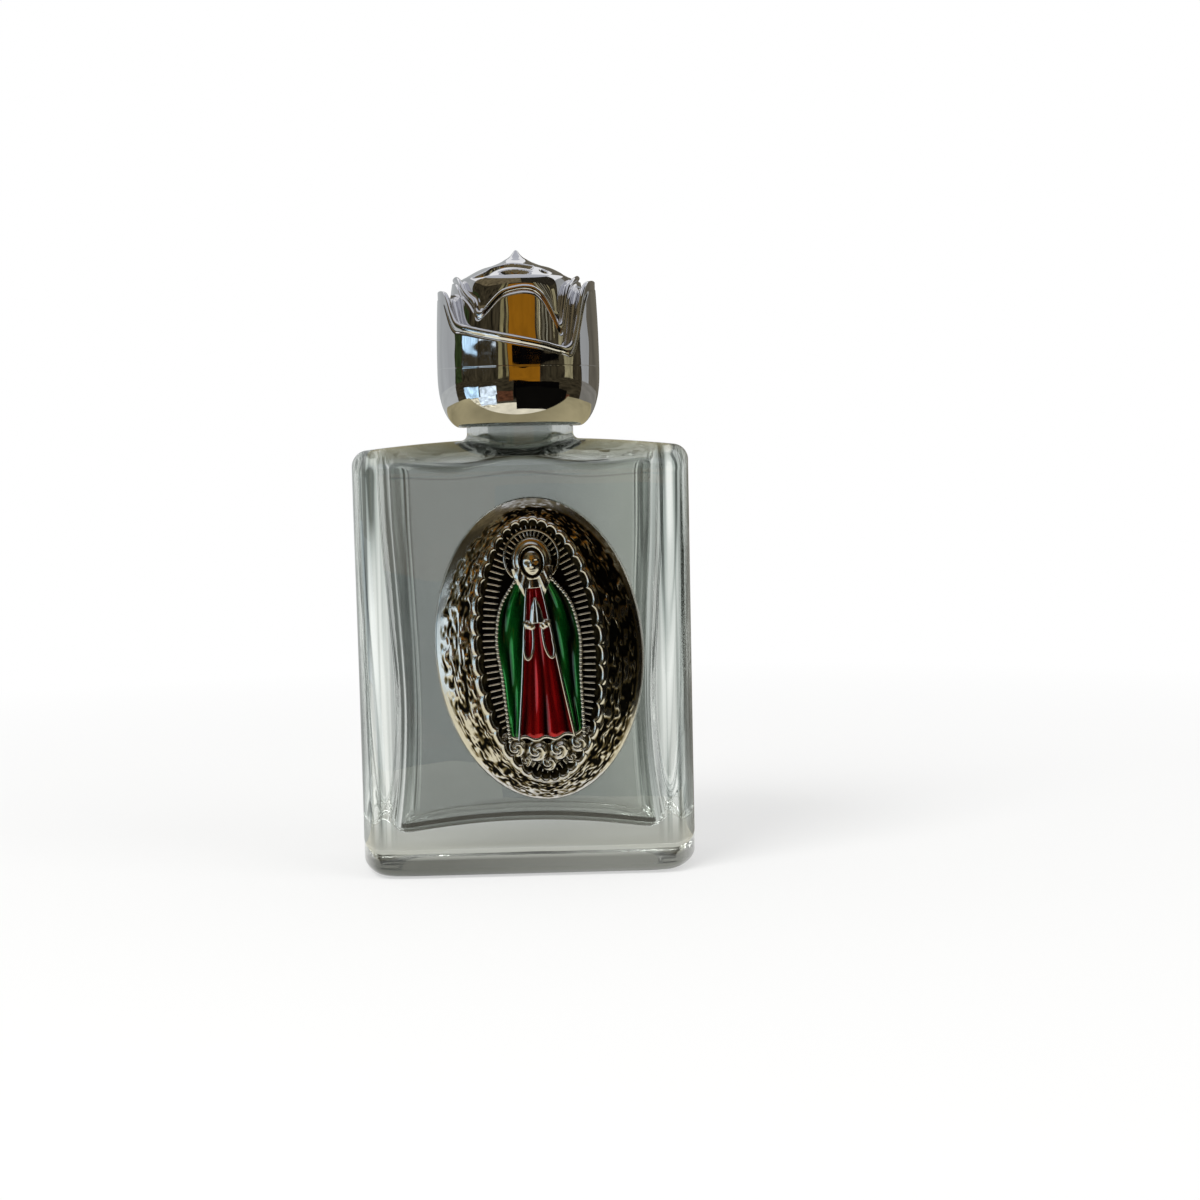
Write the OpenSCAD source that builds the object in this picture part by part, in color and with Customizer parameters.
// Small glass holy water bottle with a rosebud screw cap and an enamelled oval plaque.
// Millimetres. The origin is the middle of the base on the neck axis, the front faces -Y.

/* [Bottle] */
// Width across the bowed sides
body_w = 37.4; // [34:0.2:44]
// Depth between the flat front and back panels
body_d = 19; // [17:0.5:22]
// Height of the shoulder where it meets the neck
crown_z = 47.7; // [46:0.1:54]
// How far each side panel bows out
side_bow = 2.1; // [1.6:0.1:2.4]
// Flat ground off each upright edge
edge_bevel = 0.7; // [0.4:0.1:1]
// Drop of the shoulder towards the sides
crown_drop_side = 1; // [0.8:0.1:1.6]
// Drop of the shoulder towards the front and back
crown_drop_front = 1.8; // [1.4:0.1:2.2]
// Drop of the hollow's roof towards the front and back
roof_drop = 0.9; // [0.8:0.1:1.2]
// Rounding of the shoulder edge
shoulder_r = 1.4; // [1.1:0.1:1.8]
// Rounding of the heel
heel_r = 1.2; // [0.8:0.1:1.6]
// Glass at the sides of the hollow
wall_side = 3.1; // [2.4:0.1:3.6]
// Glass at the front and back of the hollow
wall_front = 2.1; // [1.8:0.1:2.6]
// Glass under the hollow at its rim
base_t = 4.8; // [4:0.1:5.4]
// Rise of the hollow's floor in the middle
push_up = 1.4; // [0.8:0.1:1.8]
// Depth of the recess under the base
foot_recess = 0.5; // [0.3:0.1:0.8]

/* [Neck] */
// Outside radius of the neck
neck_r = 5.95; // [5.6:0.05:6.3]
// Height of the neck above the shoulder
neck_h = 10.2; // [9.4:0.1:11]
// Radius of the pouring bore
bore_r = 3.6; // [3.2:0.1:4]
// Rounding of the pouring lip
lip_r = 0.6; // [0.4:0.1:0.8]
// Flare where the neck meets the shoulder
flare_r = 0.7; // [0.4:0.1:0.9]

/* [Cap] */
// Gap left between the shoulder and the cap
cap_gap = 1.3; // [1.1:0.1:1.6]
// Room round the neck for the screw thread
thread_room = 0.6; // [0.5:0.05:0.7]
// How far the insert sits up behind the cap's lower lip
insert_up = 0.9; // [0.8:0.1:1.2]
// Wall of the threaded insert
insert_wall = 0.65; // [0.55:0.05:0.7]
// Thickness of the sealing wad
wad_t = 1.2; // [1:0.1:1.4]
// Room round the wad
wad_room = 0.2; // [0.15:0.05:0.3]
// Top of the insert over the wad
insert_top = 0.8; // [0.6:0.1:0.9]
// Greatest radius of the rosebud, at its mould seam
bud_r = 9.05; // [8.9:0.05:9.6]
// Height of the mould seam above the cap's lower edge
seam_h = 6.4; // [5.6:0.1:7]
// Height of the whole rosebud
bud_h = 19.6; // [19.2:0.1:20.6]
// How far the outer petals stand over the inner ones
petal_lip = 0.7; // [0.5:0.05:0.75]
// Height of the struck petal edges in the crown of the bud
swirl = 0.62; // [0.3:0.02:0.7]

/* [Plaque] */
// Width of the oval plaque
plaque_w = 22.6; // [21:0.1:24.6]
// Height of the oval plaque
plaque_h = 32.9; // [31:0.1:35]
// Place of the plaque to the right of the middle
plaque_x = 1.7; // [0:0.1:2]
// Height of the middle of the plaque above the base
plaque_z = 24.9; // [24:0.1:26.4]
// Lean of the plaque, top to the left
plaque_lean = 3.7; // [0:0.1:5]
// Thickness at the plaque's edge
plaque_edge = 0.7; // [0.5:0.1:0.9]
// Thickness that the domed rim would reach in the middle
plaque_dome = 1.9; // [1.7:0.1:2.2]
// Metal left under the sunk field
field_t = 0.75; // [0.6:0.05:0.9]
// Width of the hammered rim at the sides
rim_side = 4.5; // [4:0.1:5]
// Width of the hammered rim at the top and bottom
rim_top = 2.25; // [2:0.05:2.6]
// Flutes round the field, each under one scallop
flutes = 40; // [36:2:48]
// Length of a flute
flute_len = 1; // [0.8:0.1:1.4]
// Radius of the roses underfoot
rose_r = 1.35; // [1.1:0.05:1.5]
// Height of the robed figure's ground over the field
figure_h = 0.9; // [0.7:0.05:1.05]
// Depth of the enamel cells
cell_depth = 0.45; // [0.3:0.05:0.5]
// Metal wall between two enamel cells
cell_wall = 0.22; // [0.16:0.02:0.3]
// Thickness of the glue pad
pad_t = 0.4; // [0.2:0.1:0.6]
// How far the glue pad stays back from the plaque's edge
pad_back = 2; // [1.5:0.1:3]

/* [Hidden] */
$fn = 64;
// How far a softened edge overruns its two faces, so that they cross cleanly
turn_in = 0.06;
lip_z = crown_z + neck_h;
front_y = -body_d / 2;
hollow_w = body_w - 2 * wall_side;
hollow_d = body_d - 2 * wall_front;
hollow_top = crown_z - 1.8;
cap_z = crown_z + cap_gap;
wad_z = lip_z;
insert_bore = neck_r + thread_room;
insert_r = insert_bore + insert_wall;
insert_z = wad_z + wad_t + insert_top;
tip_z = cap_z + bud_h;
mouth_r = insert_bore + 0.2;
field_w = plaque_w - 2 * rim_side;
field_h = plaque_h - 2 * rim_top;

// Radius of the arc that rises by drop over a half width
function arc_radius(half, drop) = (half * half + drop * drop) / (2 * drop);

// Smooth curve through key points [place, value]
function ease(t) = (1 - cos(180 * t)) / 2;
function span(keys, at, i = 0) = i >= len(keys) - 2 || at <= keys[i + 1][0] ? i : span(keys, at, i + 1);
function between(a, b, at) = a[1] + (b[1] - a[1]) * ease(max(0, min(1, (at - a[0]) / (b[0] - a[0]))));
function through(keys, at) = let (i = span(keys, at)) between(keys[i], keys[i + 1], at);

// Plan of the bottle: flat front and back, bowed sides, bevelled upright edges
module plan(w, d, bow, bevel) {
  bow_r = arc_radius(d / 2, bow);
  corner = w / 2 - bow - bevel;
  turn = d / 2 - bow - bevel;
  intersection() {
    translate([w / 2 - bow_r, 0]) circle(bow_r);
    translate([bow_r - w / 2, 0]) circle(bow_r);
    polygon([
      [-corner, -d / 2], [corner, -d / 2], [w / 2 + 0.1, -turn + 0.1], [w / 2 + 0.1, turn - 0.1],
      [corner, d / 2], [-corner, d / 2], [-w / 2 - 0.1, turn - 0.1], [-w / 2 - 0.1, -turn + 0.1]
    ]);
  }
}

// Upright outline with a rounded heel, an arched top and a softened edge between top and side
module arched(w, top, drop, r_low, r_top) {
  arch_r = arc_radius(w / 2 - r_top, drop);
  turn_x = w / 2 - r_top + turn_in;
  turn_z = top - arch_r + sqrt(pow(arch_r - r_top + turn_in, 2) - turn_x * turn_x);
  difference() {
    intersection() {
      union() {
        translate([-w / 2, r_low]) square([w, top - r_low]);
        translate([r_low - w / 2, 0]) square([w - 2 * r_low, r_low]);
        for (side = [-1, 1]) translate([side * (w / 2 - r_low), r_low]) circle(r_low);
      }
      union() {
        translate([0, top - arch_r]) circle(arch_r, $fn = 240);
        translate([-w, -1]) square([2 * w, max(2, top - arch_r + 1)]);
      }
    }
    for (side = [-1, 1]) difference() {
      translate([side > 0 ? turn_x : -turn_x - 4, turn_z]) square([4, 8]);
      translate([side * turn_x, turn_z]) circle(r_top);
    }
  }
}

// Block shaped by its front outline, its side outline and its plan
module block(w, d, top, bow, bevel, drop_side, drop_front, r_low, r_top) {
  intersection() {
    rotate([90, 0, 0]) linear_extrude(d + 2, center = true) arched(w, top, drop_side, r_low, r_top);
    rotate([90, 0, 90]) linear_extrude(w + 2, center = true) arched(d, top, drop_front, r_low, r_top);
    linear_extrude(top + 1) plan(w, d, bow, bevel);
  }
}

// Hollow of the bottle with its floor pushed up in the middle
module hollow() {
  floor_r = arc_radius(hollow_w / 2 - 1, push_up);
  difference() {
    translate([0, 0, base_t])
      block(hollow_w, hollow_d, hollow_top - base_t, 1.2, 0.8, crown_drop_side, roof_drop, 1.2, 1.2);
    translate([0, 0, base_t + push_up - floor_r])
      rotate([90, 0, 0]) cylinder(r = floor_r, h = body_d, center = true);
  }
}

module neck() {
  rotate_extrude() {
    translate([0, crown_z - 4]) square([neck_r, neck_h + 4 - lip_r]);
    translate([0, lip_z - lip_r]) square([neck_r - lip_r, lip_r]);
    translate([neck_r - lip_r, lip_z - lip_r]) circle(lip_r);
    difference() {
      translate([0, crown_z - 1]) square([neck_r + flare_r, flare_r + 1]);
      translate([neck_r + flare_r, crown_z + flare_r]) circle(flare_r);
    }
  }
}

module bottle() {
  color([0.8, 0.84, 0.83, 0.45])
  difference() {
    union() {
      block(
        body_w, body_d, crown_z, side_bow, edge_bevel,
        crown_drop_side, crown_drop_front, heel_r, shoulder_r
      );
      neck();
    }
    hollow();
    translate([0, 0, hollow_top - 2]) cylinder(r = bore_r, h = neck_h + 6);
    translate([0, 0, -1]) linear_extrude(1 + foot_recess) plan(body_w - 9, body_d - 8, 0.6, 0.4);
  }
}

// Foam wad that is pressed on the lip
module seal_wad() {
  color([0.93, 0.92, 0.88])
  translate([0, 0, wad_z]) cylinder(r = insert_bore - wad_room, h = wad_t);
}

// Threaded inner cap, its thread room left as a plain bore
module cap_insert() {
  color([0.9, 0.9, 0.88])
  difference() {
    translate([0, 0, cap_z + insert_up]) cylinder(r = insert_r, h = insert_z - cap_z - insert_up);
    translate([0, 0, cap_z]) cylinder(r = insert_bore, h = wad_z + wad_t - cap_z);
  }
}

// Rosebud: angle f is measured from the front, positive to the right
bud_steps = 80;
rim_outer = [
  [-180, 15.4], [-140, 13.2], [-112, 14.9], [-90, 15.1], [-64, 14.7], [-54, 12.7], [-43, 11.2],
  [0, 9.75], [38, 8.6], [47, 11], [57, 14.7], [72, 15.8], [90, 15.9], [112, 15.3], [140, 12.6], [180, 15.4]
];
rim_inner = [
  [-180, 16.3], [-150, 15.6], [-120, 16.3], [-90, 16.6], [-62, 16.1], [-38, 13.7], [-32, 12.6],
  [-14, 14.6], [8, 15.3], [26, 14.1], [38, 11.2], [51, 14.9], [75, 16.4], [120, 16.3], [150, 15.4], [180, 16.3]
];
crown = [
  [0, 0], [0.16, 0.07], [0.3, 0.25], [0.48, 0.5], [1.3, 1.12],
  [2.6, 1.73], [3.9, 2.12], [4.9, 2.6], [5.8, 3.1], [7.4, 3.7]
];
// Bent edge of the petal round the tip, as seen from above: across, and towards the front
bent_edge = [[-5.6, 4.7], [-4.6, 3.9], [-3.4, 3.75], [-2.6, 3], [-1.4, 2.4], [0, 2.5], [1, 2.75], [2, 3.2]];

// Radius of the outer cup and of the inner petals at a height above the lower edge
function cup_low(h) = mouth_r + (bud_r - mouth_r) * pow(max(0, 1 - pow((seam_h - h) / seam_h, 2.6)), 0.64);
function cup_high(h) = bud_r - 0.6 * pow((h - seam_h) / (bud_h - seam_h), 2);
function cup(h) = h < seam_h ? cup_low(h) : cup_high(h);
function heart(h) = bud_r - 1 - 0.95 * pow(max(0, h - 8) / 8, 1.5);

function at_angle(f, r, h) = [r * sin(f), -r * cos(f), cap_z + h];
// Drop of the crown in front of a struck edge, which stands up on its inner side
function step_down(past, reach) = past > 0 ? exp(-pow(past / reach, 2)) : exp(-pow(past / 0.15, 2));
function petal_step(x, y) =
  sqrt(max(0, min(1, (x + 5.6) / 1.2)) * max(0, min(1, (2 - x) / 1.6)))
  * step_down(y - through(bent_edge, max(-5.6, min(2, x))), 0.95);
function leaf_step(x, y) = max(0, 1 - pow(x / 1.8, 2)) * step_down(y - 4.75 - 0.05 * x * x, 0.6);
function struck(f, r) = petal_step(r * sin(f), r * cos(f)) + leaf_step(r * sin(f), r * cos(f));
function swirl_cut(f, r) =
  swirl * min(1.25, struck(f, r) + struck(f - 120, r) + struck(f + 120, r)) * max(0, min(1, (6.15 - r) / 0.3));
function crown_h(f, r) = bud_h - through(crown, r) - swirl_cut(f, r);

// One upright line of the bud from its mouth to just below the tip, as [radius, height]
function bud_line(f) =
  let (outer = through(rim_outer, f), inner = through(rim_inner, f))
  let (low = outer - 1, top = heart(inner) - petal_lip)
  let (dip = min(inner - 0.5, crown_h(f, top) - 0.15))
  concat(
    [for (t = [0 : 0.2 : 1]) let (h = seam_h * t * t) [cup(h), h]],
    [for (t = [0.25 : 0.25 : 0.75]) let (h = seam_h + (outer - 0.5 - seam_h) * t) [cup(h), h]],
    [[cup(outer) + 0.12, outer - 0.5], [cup(outer), outer - 0.12], [cup(outer) - 0.28, outer]],
    [[cup(outer) - 0.6, outer - 0.2], [heart(low) + 0.04, low]],
    [for (t = [0.3 : 0.3 : 0.9]) let (h = low + (inner - low) * t) [heart(h), h]],
    [[heart(inner) - 0.1, inner], [heart(inner) - 0.4, inner - 0.05], [top, dip]],
    [for (r = [5.95 : -0.35 : 0.7]) [r, crown_h(f, r)]],
    [for (r = [0.48, 0.3, 0.16]) [r, crown_h(f, r)]]
  );

module rosebud() {
  lines = [for (i = [0 : bud_steps - 1]) bud_line(-180 + 360 * i / bud_steps)];
  rows = len(lines[0]);
  points = concat(
    [for (i = [0 : bud_steps - 1]) for (p = lines[i]) at_angle(-180 + 360 * i / bud_steps, p[0], p[1])],
    [[0, 0, tip_z]]
  );
  tip = bud_steps * rows;
  function spot(i, j) = (i % bud_steps) * rows + j;
  mouth = [for (i = [0 : bud_steps - 1]) spot(i, 0)];
  side_a = [
    for (i = [0 : bud_steps - 1]) for (j = [0 : rows - 2]) [spot(i, j), spot(i, j + 1), spot(i + 1, j)]
  ];
  side_b = [
    for (i = [0 : bud_steps - 1]) for (j = [0 : rows - 2]) [spot(i + 1, j), spot(i, j + 1), spot(i + 1, j + 1)]
  ];
  cone = [for (i = [0 : bud_steps - 1]) [spot(i, rows - 1), tip, spot(i + 1, rows - 1)]];
  polyhedron(points, concat([mouth], side_a, side_b, cone), convexity = 8);
}

module cap_shell() {
  color([0.78, 0.78, 0.8])
  difference() {
    rosebud();
    translate([0, 0, cap_z - cap_gap]) cylinder(r = insert_bore, h = insert_z - crown_z);
    translate([0, 0, cap_z + insert_up]) cylinder(r = insert_r, h = insert_z - cap_z - insert_up);
  }
}

// Everything below is drawn flat with its back on the front panel, then stood up on it
module on_front() {
  translate([plaque_x, front_y, plaque_z]) rotate([90, 0, 0]) rotate([0, 0, plaque_lean]) children();
}

module oval(w, h) {
  scale([1, h / w]) circle(d = w);
}

// Half widths of the robed figure at each height above the middle of the plaque
gown_edge = [[-9.6, 2.9], [-4, 2.1], [2, 1.35], [6.8, 0.7]];
mantle_edge = [[-9.6, 3.9], [-3, 4.1], [2, 4.3], [5.4, 3.4], [7.8, 1.7]];
sunk = 0.3;
robe_low = -9.6;
gown_top = 6.8;
mantle_top = 7.8;
halo_v = 10;

module gown_outline() {
  steps = [for (t = [0 : 0.125 : 1]) robe_low + (gown_top - robe_low) * t];
  polygon(concat(
    [for (v = steps) [through(gown_edge, v), v]],
    [for (v = steps) let (b = gown_top + robe_low - v) [-through(gown_edge, b), b]]
  ));
}

module mantle_outline(side) {
  steps = [for (t = [0 : 0.125 : 1]) robe_low + (mantle_top - robe_low) * t];
  polygon(concat(
    [for (v = steps) [side * through(mantle_edge, v), v]],
    [for (v = steps) let (b = mantle_top + robe_low - v) [side * (through(gown_edge, b) + cell_wall), b]]
  ));
}

module veil_outline() {
  translate([0, 9.7]) oval(4.4, 5.2);
}

module hands_outline() {
  translate([0, 4.2]) oval(1.3, 2.6);
}

// Cells that hold the enamel, clear of the hands and the veil
module gown_cell() {
  difference() {
    gown_outline();
    hands_outline();
  }
}

module mantle_cell(side) {
  difference() {
    mantle_outline(side);
    veil_outline();
  }
}

// Room of all the enamel cells, cut from their floor up
module enamel_room() {
  translate([0, 0, field_t + figure_h - cell_depth]) linear_extrude(3) {
    gown_cell();
    mantle_cell(-1);
    mantle_cell(1);
  }
}

module figure_ground() {
  difference() {
    translate([0, 0, sunk]) linear_extrude(field_t + figure_h - sunk) {
      polygon(concat(
        [for (v = [robe_low - 0.6 : 1 : mantle_top + 0.4]) [through(mantle_edge, v) + 0.3, v]],
        [for (v = [robe_low - 0.6 : 1 : mantle_top + 0.4]) let (b = mantle_top + robe_low - 0.2 - v)
          [-through(mantle_edge, b) - 0.3, b]]
      ));
      translate([0, 9.6]) oval(4.4, 5);
    }
    enamel_room();
  }
}

// Roses underfoot, placed in rose radii from the middle of the plaque, with each one's size
roses = [[-2.5, -8.1, 0.85], [-0.9, -8.15, 1], [0.9, -8.15, 1], [2.5, -8.1, 0.85], [0, -9.1, 0.75]];

// Face, veil, halo, joined hands and the bank of roses
module figure_metal() {
  ground = field_t + figure_h;
  translate([0, 9.5, ground - 0.2]) scale([1, 1.25, 0.7]) sphere(1.15);
  translate([0, 0, sunk]) linear_extrude(ground + 0.15 - sunk) difference() {
    veil_outline();
    translate([0, 9.4]) oval(2.6, 3.4);
  }
  translate([0, halo_v, sunk]) linear_extrude(field_t + 0.55 - sunk) difference() {
    circle(3.1);
    circle(2.75);
    translate([0, -halo_v]) mantle_cell(-1);
    translate([0, -halo_v]) mantle_cell(1);
  }
  translate([0, 4.2, ground - 0.2]) scale([0.6, 1.25, 0.6]) sphere(1);
  difference() {
    for (rose = roses) {
      translate([rose[0] * rose_r, rose[1] * rose_r, field_t]) scale([1, 1, 0.8]) sphere(rose[2] * rose_r);
    }
    translate([-plaque_w, -plaque_h, sunk - plaque_h]) cube([2 * plaque_w, 2 * plaque_h, plaque_h]);
    enamel_room();
  }
}

// Struck plate as rings from its back edge in to the flat middle of the field, as [across, up, height]
function rim_ring(a, t, h) =
  [((1 - t) * plaque_w + t * field_w) / 2 * cos(a), ((1 - t) * plaque_h + t * field_h) / 2 * sin(a), h];
function field_ring(a, inset, h) = [(field_w / 2 - inset) * cos(a), (field_h / 2 - inset) * sin(a), h];
flute_out = 0.9;
function scallop(i) = 0.1 + [0.5, 0.12, 0, 0.12][i % 4];
function flute(i) = field_t + [0, 0.32, 0.38, 0.32][i % 4];
function band(t) = plaque_edge + (plaque_dome - plaque_edge) * (1 - pow(1 - t, 2)) * 0.85;

function plate_line(i) =
  let (a = 90 * i / flutes)
  concat(
    [rim_ring(a, 0, 0), rim_ring(a, 0, plaque_edge * 0.6)],
    [for (t = [0.05, 0.3, 0.6, 0.85]) rim_ring(a, t, band(t))],
    [rim_ring(a, 0.94, band(1) + 0.14)],
    [field_ring(a, scallop(i), band(1)), field_ring(a, scallop(i) + 0.1, field_t)],
    [field_ring(a, flute_out, flute(i)), field_ring(a, flute_out + flute_len, flute(i))],
    [field_ring(a, flute_out + flute_len * 1.3, field_t)]
  );

module struck_plate() {
  count = 4 * flutes;
  lines = [for (i = [0 : count - 1]) plate_line(i)];
  rows = len(lines[0]);
  function spot(i, j) = (i % count) * rows + j;
  back = [for (i = [0 : count - 1]) spot(i, 0)];
  middle = [for (i = [count - 1 : -1 : 0]) spot(i, rows - 1)];
  side_a = [
    for (i = [0 : count - 1]) for (j = [0 : rows - 2]) [spot(i, j), spot(i, j + 1), spot(i + 1, j)]
  ];
  side_b = [
    for (i = [0 : count - 1]) for (j = [0 : rows - 2]) [spot(i + 1, j), spot(i, j + 1), spot(i + 1, j + 1)]
  ];
  polyhedron([for (line = lines) for (p = line) p], concat([back], side_a, side_b, [middle]), convexity = 8);
}

module plaque_metal() {
  struck_plate();
  figure_ground();
  figure_metal();
}

module glue_pad() {
  color([0.86, 0.86, 0.82])
  on_front() linear_extrude(pad_t) oval(plaque_w - 2 * pad_back, plaque_h - 2.5 * pad_back);
}

module plaque() {
  color([0.66, 0.66, 0.66])
  on_front() translate([0, 0, pad_t]) plaque_metal();
}

// Enamel that fills a cell level with the metal round it
module enamel() {
  on_front() translate([0, 0, pad_t + field_t + figure_h - cell_depth]) linear_extrude(cell_depth) children();
}

module enamel_gown() {
  color([0.62, 0.08, 0.09]) enamel() gown_cell();
}

module enamel_mantle_left() {
  color([0.1, 0.4, 0.2]) enamel() mantle_cell(-1);
}

module enamel_mantle_right() {
  color([0.1, 0.4, 0.2]) enamel() mantle_cell(1);
}

bottle();
glue_pad();
plaque();
enamel_gown();
enamel_mantle_left();
enamel_mantle_right();
seal_wad();
cap_insert();
cap_shell();
